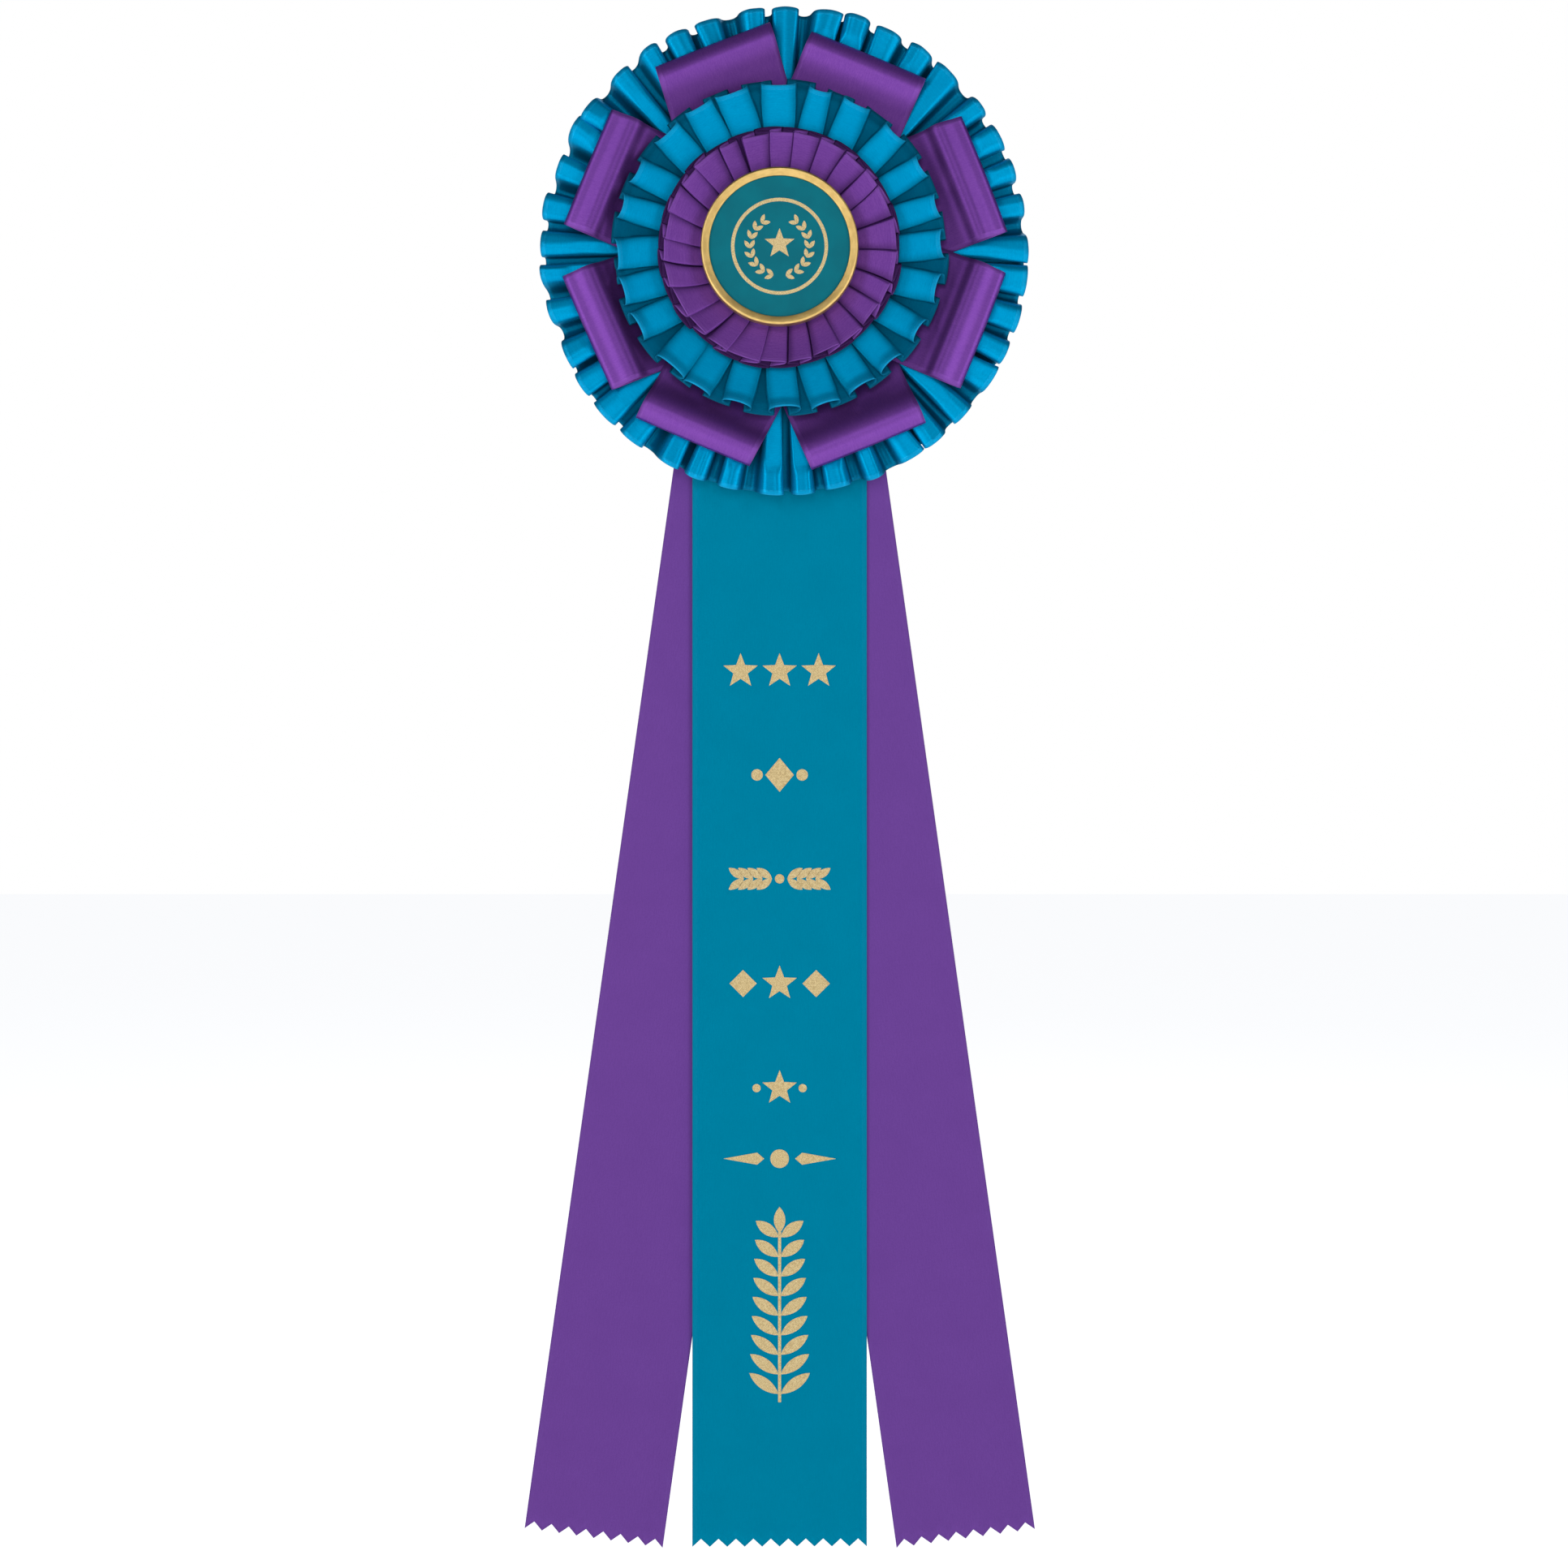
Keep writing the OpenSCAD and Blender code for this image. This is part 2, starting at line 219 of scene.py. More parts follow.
def satin(name, width, bright, deep, roughness=0.44, metallic=0.68, anisotropic=0.75,
          fold_shade=None, selvedge=1.0):
    """Woven satin ribbon: u runs along the ribbon and v across it, both in metres. The floats
    run along u, so the shine is narrow along the ribbon and wide across it. The fold settings
    say where shade is painted into the colour, in the hollows of the pleats and where other
    parts lie over the ribbon, and selvedge is how strongly the woven edges show."""
    m = Nodes(name, Metallic=metallic, Anisotropic=anisotropic, Anisotropic_Rotation=0.25,
              Specular_IOR_Level=0.0)
    uv = m.uv()
    axes = m.split(uv)
    # distance from the nearer selvedge
    edge = m.math("MINIMUM", axes[1], m.math("SUBTRACT", width, axes[1]))
    # threads along the ribbon, bound by finer crossing ones
    warp = m.wave(axes[1], WARP_PITCH)
    weft = m.wave(axes[0], WEFT_PITCH)
    floats = m.math("ADD", warp, m.math("MULTIPLY", weft, 0.35))
    threads = m.noise(m.scaled(uv, 300, 2400), 1.0, 3.0, 0.6)
    speckle = m.noise(m.scaled(uv, 1500, 2000), 1.0, 2.0, 0.6)
    cloud = m.noise(m.scaled(uv, 70, 70), 1.0, 2.0)
    colour = m.blend(m.steps(threads, 0.30, 0.72, 0.0, 0.35), bright, deep)
    colour = m.blend(m.steps(speckle, 0.35, 0.75, 0.0, 0.30), colour, shade(deep, 0.9))
    colour = m.blend(m.steps(cloud, 0.2, 0.9, 0.0, 0.3), colour, deep)
    # selvedge: a denser strip with a stitched line at its inner border
    wander = m.noise(m.scaled(uv, 1400, 300), 1.0, 2.0)
    stitch_line = m.math("ADD", STITCH_IN, m.math("MULTIPLY", wander, STITCH_WANDER))
    offset = m.math("ABSOLUTE", m.math("SUBTRACT", edge, stitch_line))
    stitch = m.math("MULTIPLY", m.steps(offset, 0.00005, 0.00022, 1.0, 0.0),
                    m.steps(wander, 0.40, 0.55))
    strip = m.steps(edge, 0.0013, 0.0019, 1.0, 0.0)
    cord = m.steps(edge, 0.0002, 0.0005, 1.0, 0.0)
    pale = tuple(1.15 * c + 0.03 for c in bright[:3]) + (1.0,)
    colour = m.blend(m.math("MULTIPLY", strip, 0.12 * selvedge), colour, pale)
    colour = m.blend(m.math("MULTIPLY", stitch, 0.28 * selvedge), colour, pale)
    colour = m.blend(m.math("MULTIPLY", cord, 0.30 * selvedge), colour, pale)
    # painted shade: the colour is darkened almost to black in the hollows of the pleats and toward
    # the ends that lie under other parts
    if fold_shade is not None:
        phase = m.math("FRACT", m.math("DIVIDE", axes[0], fold_shade.run))
        away = m.math("ABSOLUTE", m.math("SUBTRACT", phase, fold_shade.front))
        depth = m.steps(axes[1], 0.0, width, fold_shade.depth_in, fold_shade.depth_out)
        painted_shade = m.math("MULTIPLY", m.steps(away, fold_shade.start, fold_shade.end), depth)
        colour = m.blend(painted_shade, colour, shade(deep, 0.06))
    m.out("Base Color", colour)
    m.out("Roughness", m.math("ADD", m.math("MULTIPLY", threads, 0.12), roughness - 0.06))
    fine = m.bump(floats, 0.000004, 0.35)
    slubs = m.bump(threads, 0.00002, 0.3, fine)
    m.out("Normal", m.bump(stitch, 0.00004, 0.5, slubs))
    tangent = m.add("ShaderNodeTangent", direction_type="UV_MAP", uv_map="ribbon")
    m.wire(tangent.outputs[0], m.shader.inputs["Tangent"])
    return m.material


# each ribbon's dye and its deeper tone: shiny in the rosette and flat in the streamers; in the
# rosette the deeper tone, darkened almost to black, is also the painted shade in the pleats'
# hollows
TEAL_LIT, TEAL_DEEP = srgb(0, 155, 203), srgb(0, 125, 177)
PURPLE_LIT, PURPLE_DEEP = srgb(128, 75, 165), srgb(100, 55, 146)
TEAL_FLAT, TEAL_FLAT_DEEP = srgb(0, 126, 158), srgb(0, 114, 144)
PURPLE_FLAT, PURPLE_FLAT_DEEP = srgb(107, 67, 147), srgb(96, 59, 134)
FOIL_MESH = 0.0009
FACE_WEAVE = 0.0004


def foil_material():
    """Matt gold foil, with painted shade in the hollows that the ribbon's weave leaves in it."""
    m = Nodes("gold_foil", Metallic=0.35, Specular_IOR_Level=0.5)
    where = m.position()
    weave_pit_shade = m.crossed(where, FOIL_MESH)
    patches = m.noise(where, 2200.0, 4.0, 0.65)
    grain = m.noise(where, 5200.0, 2.0, 0.5)
    colour = m.blend(m.steps(patches, 0.34, 0.64), srgb(186, 158, 106), srgb(218, 197, 145))
    # painted shade: the foil is darkened in the hollows of the weave
    colour = m.blend(m.steps(weave_pit_shade, 0.2, 0.9, 0.0, 0.35), colour, srgb(158, 132, 84))
    colour = m.blend(m.steps(grain, 0.55, 0.75, 0.0, 0.5), colour, srgb(160, 132, 84))
    m.out("Base Color", colour)
    m.out("Roughness", m.steps(patches, 0.3, 0.7, 0.55, 0.38))
    m.out("Normal", m.bump(grain, 0.00004, 0.5))
    return m.material


def rim_material():
    """Gold plate, faintly brushed and a little worn."""
    m = Nodes("gold_plate", Metallic=1.0)
    where = m.position()
    brushed = m.noise(m.scaled(where, 300, 1500, 300), 1.0, 3.0)
    wear = m.noise(where, 220.0, 4.0, 0.6)
    colour = m.blend(m.steps(brushed, 0.3, 0.7), srgb(208, 174, 104), srgb(226, 192, 122))
    colour = m.blend(m.steps(wear, 0.58, 0.8, 0.0, 0.5), colour, srgb(180, 147, 84))
    m.out("Base Color", colour)
    m.out("Roughness", m.steps(wear, 0.3, 0.8, 0.38, 0.48))
    m.out("Normal", m.bump(brushed, 0.00002, 0.25))
    return m.material


def face_material():
    """Closely woven cloth, printed teal."""
    m = Nodes("printed_face", Specular_IOR_Level=0.1)
    where = m.position()
    weave = m.crossed(where, FACE_WEAVE)
    cloud = m.noise(where, 90.0, 3.0)
    colour = m.blend(m.steps(cloud, 0.3, 0.7), srgb(0, 99, 113), srgb(0, 107, 121))
    m.out("Base Color", colour)
    m.out("Roughness", m.steps(cloud, 0.2, 0.8, 0.52, 0.62))
    m.out("Normal", m.bump(weave, 0.00002, 0.4))
    return m.material


def card_material(name, light, dark, roughness, fleck):
    """Card with a cloudy tone; fleck is how strongly its fibres show."""
    m = Nodes(name, Specular_IOR_Level=0.35)
    where = m.position()
    fibres = m.noise(m.scaled(where, 900, 900, 260), 1.0, 5.0, 0.7)
    cloud = m.noise(where, 45.0, 3.0)
    colour = m.blend(m.steps(cloud, 0.25, 0.8), light, dark)
    colour = m.blend(m.steps(fibres, 0.62, 0.8, 0.0, fleck), colour, shade(dark, 0.7))
    m.out("Base Color", colour)
    m.out("Roughness", m.steps(fibres, 0.2, 0.8, roughness, roughness + 0.12))
    m.out("Normal", m.bump(fibres, 0.00005, 0.4))
    return m.material


def foam_material():
    """Fine closed-cell foam."""
    m = Nodes("foam", Specular_IOR_Level=0.25)
    where = m.position()
    cells = m.add("ShaderNodeTexVoronoi")
    m.wire(where, cells.inputs["Vector"])
    cells.inputs["Scale"].default_value = 2600.0
    cloud = m.noise(where, 300.0, 3.0)
    m.out("Base Color", m.blend(cloud, srgb(236, 235, 230), srgb(214, 212, 204)))
    m.out("Roughness", m.steps(cloud, 0.2, 0.8, 0.75, 0.9))
    m.out("Normal", m.bump(cells.outputs["Distance"], 0.0001, 0.6))
    return m.material


def steel_material():
    """Nickel-plated drawn steel with a few dull spots."""
    m = Nodes("nickel_steel", Metallic=1.0)
    where = m.position()
    drawn = m.noise(m.scaled(where, 400, 4000, 4000), 1.0, 3.0)
    spots = m.noise(where, 700.0, 4.0, 0.6)
    colour = m.blend(m.steps(drawn, 0.3, 0.7), srgb(196, 198, 202), srgb(222, 223, 226))
    colour = m.blend(m.steps(spots, 0.64, 0.8, 0.0, 0.5), colour, srgb(150, 148, 144))
    m.out("Base Color", colour)
    m.out("Roughness", m.steps(spots, 0.3, 0.8, 0.2, 0.38))
    m.out("Normal", m.bump(drawn, 0.000003, 0.3))
    return m.material


FOIL = foil_material()
RIM = rim_material()
FACE = face_material()
STEEL = steel_material()
FOAM = foam_material()
CARD_WHITE = card_material("coated_card", srgb(238, 236, 230), srgb(226, 223, 214), 0.42, 0.15)
CARD_GREY = card_material("grey_board", srgb(168, 160, 146), srgb(148, 140, 126), 0.7, 0.5)

for node, look in {
    "back_card": CARD_WHITE, "base_card": CARD_GREY, "spacer_board": CARD_GREY,
    "button_board": CARD_GREY, "button_pad": FOAM, "pin_pad": FOAM,
    "staple_left": STEEL, "staple_right": STEEL, "pin_bar": STEEL, "pin_rivet": STEEL,
    "pin_needle": STEEL, "catch_sleeve": STEEL,
}.items():
    for material_slot in frame["nodes"][node].material_slots:
        material_slot.material = look


# --- mesh helpers -----------------------------------------------------------------------------
def place(x, up, forward):
    """A point x to the right of the rosette's axis, up above it and forward of the back card's
    rear, in metres."""
    return (AXIS_X + x, BACK_Y - forward, AXIS_Z + up)


def new_piece(name, points, faces, look, uvs=None):
    """A smooth-shaded mesh object; uvs holds one list of corners for each face."""
    mesh = bpy.data.meshes.new(name)
    mesh.from_pydata([tuple(p) for p in points], [], faces)
    if uvs is not None:
        layer = mesh.uv_layers.new(name="ribbon")
        loop = 0
        for face in uvs:
            for uv in face:
                layer.data[loop].uv = uv
                loop += 1
    mesh.materials.append(look)
    for polygon in mesh.polygons:
        polygon.use_smooth = True
    mesh.update()
    piece = bpy.data.objects.new(name, mesh)
    bpy.context.collection.objects.link(piece)
    return piece


def grid_piece(name, grid, uv, look, wrap=False):
    """A sheet from grid[i][j] points and uv[i][j]; with wrap, the last row joins the first."""
    rows, cols = grid.shape[:2]
    faces, uvs = [], []
    for i in range(rows if wrap else rows - 1):
        k = (i + 1) % rows
        for j in range(cols - 1):
            faces.append((i * cols + j, i * cols + j + 1, k * cols + j + 1, k * cols + j))
            corner = [uv[i, j], uv[i, j + 1], uv[k, j + 1], uv[k, j]]
            if k < i:  # past the seam the length goes on growing
                ahead = uv[i, 0, 0] + (uv[i, 0, 0] - uv[i - 1, 0, 0])
                corner[2] = (ahead, corner[2][1])
                corner[3] = (ahead, corner[3][1])
            uvs.append([tuple(c) for c in corner])
    return new_piece(name, grid.reshape(-1, 3), faces, look, uvs)


def thicken(piece, thickness, offset=0.0):
    """Gives a sheet its thickness as real geometry: half to each side, or all behind it at -1."""
    modifier = piece.modifiers.new("thickness", "SOLIDIFY")
    modifier.thickness = thickness
    modifier.offset = offset
    modifier.use_even_offset = False
    depsgraph = bpy.context.evaluated_depsgraph_get()
    solid = bpy.data.meshes.new_from_object(piece.evaluated_get(depsgraph))
    old = piece.data
    piece.modifiers.clear()
    piece.data = solid
    bpy.data.meshes.remove(old)


def flat_piece(name, outlines, surface, look, thickness):
    """Thin printed shapes: each outline is a loop of (x, z), raised off the surface they lie on."""
    build = bmesh.new()
    for outline in outlines:
        front = [build.verts.new((x, surface(x, z) - thickness, z)) for x, z in outline]
        back = [build.verts.new((x, surface(x, z) + thickness / 2, z)) for x, z in outline]
        build.faces.new(front)
        build.faces.new(back[::-1])
        for a in range(len(front)):
            b = (a + 1) % len(front)
            build.faces.new((front[b], front[a], back[a], back[b]))
    build.normal_update()
    bmesh.ops.triangulate(build, faces=build.faces[:])
    bmesh.ops.recalc_face_normals(build, faces=build.faces[:])
    mesh = bpy.data.meshes.new(name)
    build.to_mesh(mesh)
    build.free()
    mesh.materials.append(look)
    piece = bpy.data.objects.new(name, mesh)
    bpy.context.collection.objects.link(piece)
    return piece


# --- pleated ruffles --------------------------------------------------------------------------
SWIRL_SIDE = math.radians(230)
FREE_EDGE_PLAY = 0.00035


def pleat_curve(overhang, crest, flatness, samples=240):
    """One pleat as (share of pitch, height -1 to 1), from trough to trough across the crest."""
    t = np.linspace(-0.5, 0.5, samples + 1)
    x = t + overhang * np.sin(2 * TAU * t) + crest * np.sin(TAU * t)
    wave = np.cos(TAU * t)
    return t, x, np.sign(wave) * np.abs(wave) ** flatness


def curve_length(x, h, pitch, half):
    """The length of ribbon in one pleat, half being its half height."""
    return np.hypot(np.diff(x) * pitch, np.diff(h) * half).sum()


def fit_half_height(x, h, pitch, length, low, high):
    """The half height that gives one pleat its true length of ribbon, kept in a range."""
    for _ in range(30):
        middle = (low + high) / 2
        if curve_length(x, h, pitch, middle) < length:
            low = middle
        else:
            high = middle
    return (low + high) / 2


def even_pleat(curve, pitch, length, limits, count):
    """One pleat's half height, and its curve at count even steps along the ribbon."""
    t, x, h = curve
    half = fit_half_height(x, h, pitch, length, *limits)
    run = np.concatenate([[0], np.cumsum(np.hypot(np.diff(x) * pitch, np.diff(h) * half))])
    at = np.linspace(0, run[-1], count, endpoint=False)
    return half, [np.interp(at, run, q) for q in (t, x, h)]


def ruffle(name, look, r_out, width, pleats, per_pleat, mid, half, overhang, crest, flatness,
           scallop, lean, wobble, skew, seed, centre_x=0.0, per=30, stations=26, swirl=0.0,
           bulge=1.0, crease=0.0, roof=None):
    """A ring of pleats from one strip of ribbon. overhang, crest, mid and half run from the
    stitched inner edge to the free outer one. scallop is how much further out the crests reach
    than the troughs, or the troughs than the crests if it is below 0. skew tips each crest to
    one side, swirl turns the free edge clockwise toward the lower left, bulge shapes the
    crest's rim, crease is the depth of the soft ridges that run along it and roof(radius) is
    the height it is pressed down to."""
    rng = np.random.default_rng(seed)
    crest_lean, crest_turn = rng.normal(0, lean, pleats), rng.normal(0, lean, pleats)
    crest_gain, trough_gain = (1 + rng.normal(0, wobble, pleats) for _ in range(2))
    crest_out, crest_wide = rng.normal(0, wobble, pleats), rng.normal(0, wobble, pleats)
    crest_skew = skew + rng.normal(0, 0.2 * abs(skew) + 0.05, pleats)
    trough_out = rng.normal(0, wobble, pleats)
    ridges = rng.uniform(0.6, 1.3, pleats), rng.uniform(0, TAU, pleats)
    phase = rng.uniform(0, TAU, 2)
    shares = np.linspace(0, 1, stations) ** 0.8
    grid = np.zeros((pleats * per, stations, 3))
    uv = np.zeros((pleats * per, stations, 2))
    crest_index = np.repeat(np.arange(pleats), per)
    for j, s in enumerate(shares):
        r = r_out - width * (1 - s)
        pitch = TAU * r / pleats
        over = overhang[0] + (overhang[1] - overhang[0]) * s
        curve = pleat_curve(over, crest[0] + (crest[1] - crest[0]) * s, flatness)
        tall, pleat = even_pleat(curve, pitch, per_pleat, half(s), per)
        # every pleat's points: share of the run, share of the pitch, and height -1 to 1
        t, x, h = (np.tile(q, pleats) for q in pleat)
        up = (1 + h) / 2
        trough_index = np.where(t < 0, crest_index - 1, crest_index) % pleats
        gain = crest_gain[crest_index] * up + trough_gain[trough_index] * (1 - up)
        slide = (crest_lean[crest_index] * s + crest_turn[crest_index] * s * s) * up
        turn = crest_index + x * (1 + crest_wide[crest_index] * up * s) + slide
        turn += swirl * s * (0.5 + 0.5 * np.cos(TAU * (crest_index + x) / pleats - SWIRL_SIDE))
        angle = TAU * turn / pleats
        slow = 0.4 * np.sin(2 * angle + phase[0]) + 0.3 * np.sin(5 * angle + phase[1])
        out = crest_out[crest_index] * up + trough_out[trough_index] * (1 - up)
        pulled = (1 - up) if scallop > 0 else up ** bulge
        radius = r - s * s * (abs(scallop) * pulled + FREE_EDGE_PLAY * out / max(wobble, 0.01))
        soft = crease * ridges[0][crest_index] * np.sin(TAU * 2.6 * x + ridges[1][crest_index])
        from_trough = x - np.where(t < 0, -0.5, 0.5)
        tip = crest_skew[crest_index] * x * up + skew * from_trough * (1 - up)
        height = mid(s) + tall * h * gain + slow * MM * s + 2 * tall * tip * s + soft * s * up
        if roof is not None:
            height = np.minimum(height, roof(radius))
        grid[:, j, 0] = AXIS_X + centre_x + radius * np.sin(angle)
        grid[:, j, 1] = BACK_Y - height
        grid[:, j, 2] = AXIS_Z + radius * np.cos(angle)
        uv[:, j, 0] = np.arange(pleats * per) * per_pleat / per
        uv[:, j, 1] = s * width
    piece = grid_piece(name, grid, uv, look, wrap=True)
    thicken(piece, RUFFLE_T)
    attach(piece, "rosette")
    return piece


def line(a, b):
    """A height that goes from a to b millimetres as its share goes from 0 to 1."""
    return lambda s: (a + (b - a) * s) * MM


def half_width(node):
    low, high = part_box(node)
    return (high.x - low.x) / 2


OUTER_R = half_width("outer_ruffle")
MIDDLE_R = half_width("middle_ruffle")
INNER_R = half_width("inner_ruffle")
# how far the outer ruffle's centre lies to the right of the axis
SKIRT_X = (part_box("outer_ruffle")[1].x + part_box("outer_ruffle")[0].x) / 2 - AXIS_X

# radii of the petals' folds and inner ends, and the slopes of what lies under them
PETAL_FOLD = 0.0765
PETAL_IN = 0.0375
FREE_FROM = 0.0020
PRESSED_HEIGHT, PRESSED_SLOPE, FREE_SLOPE = 2.1, 0.095, 1.5


def under_petals(radius):
    """The height that the petals press the outer ruffle down to; past their folds it is free."""
    past = np.maximum(radius - PETAL_FOLD - FREE_FROM, 0.0)
    return (BASE + PRESSED_HEIGHT) * MM + PRESSED_SLOPE * (radius - PETAL_IN) + FREE_SLOPE * past


OUTER_W, OUTER_PLEATS, OUTER_RUN = 0.0508, 41, 0.0210
# painted shade: the colour darkens in the troughs between the outer pleats, more toward the
# stitched edge
OUTER_LOOK = satin("satin_teal_outer", OUTER_W, TEAL_LIT, TEAL_DEEP,
                   fold_shade=FoldShade(OUTER_RUN, front=0.5, start=0.18, end=0.40,
                               depth_in=0.85, depth_out=0.55))
outer = ruffle(
    "ruffle_outer", OUTER_LOOK, OUTER_R, OUTER_W, OUTER_PLEATS, OUTER_RUN,
    mid=line(BASE + 1.6, BASE + 3.6), half=lambda s: (0.3 * MM, (0.9 + 2.9 * s) * MM),
    overhang=(0.16, 0.085), crest=(0.05, 0.10), flatness=0.95, scallop=0.0019,
    lean=0.12, wobble=0.18, skew=-0.15, seed=11, centre_x=SKIRT_X, crease=0.00012,
    roof=under_petals)
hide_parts("outer_ruffle")

MIDDLE_W, MIDDLE_PLEATS, MIDDLE_RUN = 0.03175, 24, 0.0290
# painted shade: the colour darkens almost to black in the gaps between the middle ruffle's fronts
# and toward each front's edges
MIDDLE_LOOK = satin("satin_teal_middle", MIDDLE_W, shade(TEAL_LIT, 0.9), shade(TEAL_DEEP, 0.9),
                    roughness=0.46, metallic=0.55, anisotropic=0.6,
                    fold_shade=FoldShade(MIDDLE_RUN, front=0.5, start=0.07, end=0.25,
                                depth_in=0.98, depth_out=0.72))
middle = ruffle(
    "ruffle_middle", MIDDLE_LOOK, MIDDLE_R, MIDDLE_W, MIDDLE_PLEATS, MIDDLE_RUN,
    mid=line(BASE + 5.8, BASE + 10.9), half=lambda s: (0.3 * MM, (0.9 + 3.0 * s) * MM),
    overhang=(0.46, 0.20), crest=(0.0, 0.0), flatness=1.25, scallop=-0.0026,
    lean=0.08, wobble=0.18, skew=0.0, seed=5, per=44, bulge=3.0)
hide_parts("middle_ruffle")

INNER_W, INNER_PLEATS, INNER_RUN = 0.01905, 26, 0.0210
# painted shade: the colour darkens in the gaps between the inner pleats, earlier on the side where
# each front passes under the next
INNER_LOOK = satin("satin_purple_inner", INNER_W, shade(PURPLE_LIT, 0.8),
                   shade(PURPLE_DEEP, 0.72),
                   fold_shade=FoldShade(INNER_RUN, front=0.41, start=0.12, end=0.32,
                               depth_in=0.95, depth_out=0.82))
inner = ruffle(
    "ruffle_inner", INNER_LOOK, INNER_R, INNER_W, INNER_PLEATS, INNER_RUN,
    mid=line(BASE + 8.0, BASE + 12.2), half=lambda s: (0.3 * MM, (0.6 + 1.7 * s) * MM),
    overhang=(0.37, 0.40), crest=(0.0, 0.0), flatness=1.2, scallop=-0.0020,
    lean=0.07, wobble=0.18, skew=-0.75, seed=23, per=44, swirl=0.45, bulge=1.3)
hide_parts("inner_ruffle")


# --- petals -----------------------------------------------------------------------------------
def smooth_path(points, samples):
    """A cubic B-spline guided by the points, evenly spaced along its length."""
    p = np.array(points, float)
    p = np.vstack([2 * p[0] - p[1], p, 2 * p[-1] - p[-2]])
    t = np.linspace(0, 1, 30)[:, None]
    basis = ((1 - t) ** 3, 3 * t ** 3 - 6 * t ** 2 + 4,
             -3 * t ** 3 + 3 * t ** 2 + 3 * t + 1, t ** 3)
    fine = np.vstack([sum(b * p[i + k] for k, b in enumerate(basis)) / 6
                      for i in range(len(p) - 3)])
    step = np.linalg.norm(np.diff(fine, axis=0), axis=1)
    run = np.concatenate([[0], np.cumsum(step)])
    at = np.linspace(0, run[-1], samples)
    return np.stack([np.interp(at, run, fine[:, k]) for k in range(2)], axis=1), run[-1]


PETAL_W = 0.04445
PETAL_RUN = 0.083
# painted shade: the colour darkens by half away from the fold toward both ends, where the top layer
# runs under the middle ruffle
PETAL_LOOK = satin("satin_purple_petal", PETAL_W, PURPLE_LIT, PURPLE_DEEP,
                   roughness=0.48, metallic=0.72, anisotropic=0.7,
                   fold_shade=FoldShade(PETAL_RUN, front=0.5, start=0.06, end=0.17,
                               depth_in=0.5, depth_out=0.5))


def petal_section(fold, crown, raised, two_ridges):
    """The loop as (distance out, height above the base card) in millimetres, from the inner end
    under the fold and back over it, with one soft ridge beside the fold or two."""
    if two_ridges:
        ridge = [(fold - 0.8, 8.8), (fold - 3.4, 8.7), (fold - 6.2, 9.9),
                 (fold - 8.6, 10.6 + crown), (fold - 11.2, 9.8 + crown), (64, 7.6)]
    else:
        ridge = [(fold - 0.9, 9.2), (fold - 3.2, 10.4), (fold - 5.8, 10.7 + crown),
                 (fold - 9.4, 9.2 + crown), (64, 7.2)]
    return [
        (PETAL_IN / MM, 3.1 + raised), (50, 4.2 + raised * 0.8), (60, 5.3), (fold - 6, 6.3),
        (fold - 1.2, 6.8), (fold + 0.45, 7.2), (fold + 0.45, 8.0), *ridge,
        (60, 5.7 + raised * 0.2), (50, 4.9 + raised * 0.7), (PETAL_IN / MM, 4.3 + raised),
    ]


def petal(index):
    """One folded loop of ribbon; every other one lies over the ends of its two neighbours."""
    rng = np.random.default_rng(100 + index)
    raised = 1.1 if index % 2 else 0.0
    fold = PETAL_FOLD / MM + rng.normal(0, 0.5)
    crown = rng.uniform(-0.3, 0.3)
    at_side = index in (2, 3, 6, 7)
    path, length = smooth_path(petal_section(fold, crown, raised, at_side), 72)
    across = np.linspace(-0.5, 0.5, 25)
    twist = rng.normal(0, 0.010)
    tilt = rng.normal(0, 0.35)
    cup = rng.uniform(0.2, 0.7)
    angle = math.radians(45 * (index - 0.5)) + rng.normal(0, 0.012)
    grid = np.zeros((len(path), len(across), 3))
    uv = np.zeros((len(path), len(across), 2))
    for i, (out, high) in enumerate(path):
        far = max(0.0, (out - PETAL_IN / MM) / (fold - PETAL_IN / MM))
        top = i / (len(path) - 1)
        for j, a in enumerate(across):
            side = a * PETAL_W / MM
            rise = tilt * a * 2 * far * far - cup * (2 * a) ** 2 * far * top
            x = side + twist * (out - PETAL_IN / MM) * 4
            y = out - 0.5 * cup * far * (2 * a) ** 2
            h = BASE + high + rise
            grid[i, j] = place(SKIRT_X + (y * math.sin(angle) + x * math.cos(angle)) * MM,
                               (y * math.cos(angle) - x * math.sin(angle)) * MM, h * MM)
            uv[i, j] = (length * MM * i / (len(path) - 1), (a + 0.5) * PETAL_W)
    piece = grid_piece(f"petal_loop_{index}", grid, uv, PETAL_LOOK)
    thicken(piece, RIBBON_T)
    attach(piece, "rosette")
    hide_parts(f"petal_{index}")


for number in range(1, 9):
    petal(number)


# --- button -----------------------------------------------------------------------------------
def lathe(name, profile, look, segments=256):
    """A solid of revolution about the rosette's axis from (radius, forward) points in metres."""
    points, faces = [], []
    count = len(profile)
    for i in range(segments):
        a = TAU * i / segments
        for r, forward in profile:
            points.append(place(r * math.sin(a), r * math.cos(a), forward))
    for i in range(segments):
        k = (i + 1) % segments
        for j in range(count):
            n = (j + 1) % count
            faces.append((i * count + j, k * count + j, k * count + n, i * count + n))
    return new_piece(name, points, faces, look)


rim_low, rim_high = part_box("button_rim")
RIM_R = half_width("button_rim")
RIM_W = 0.0031
RIM_BACK = BACK_Y - rim_high.y
RIM_FRONT = BACK_Y - rim_low.y
FACE_FRONT = BACK_Y - face_low.y
RIM_OPEN = RIM_R - RIM_W
RIM_WALL = 0.0006


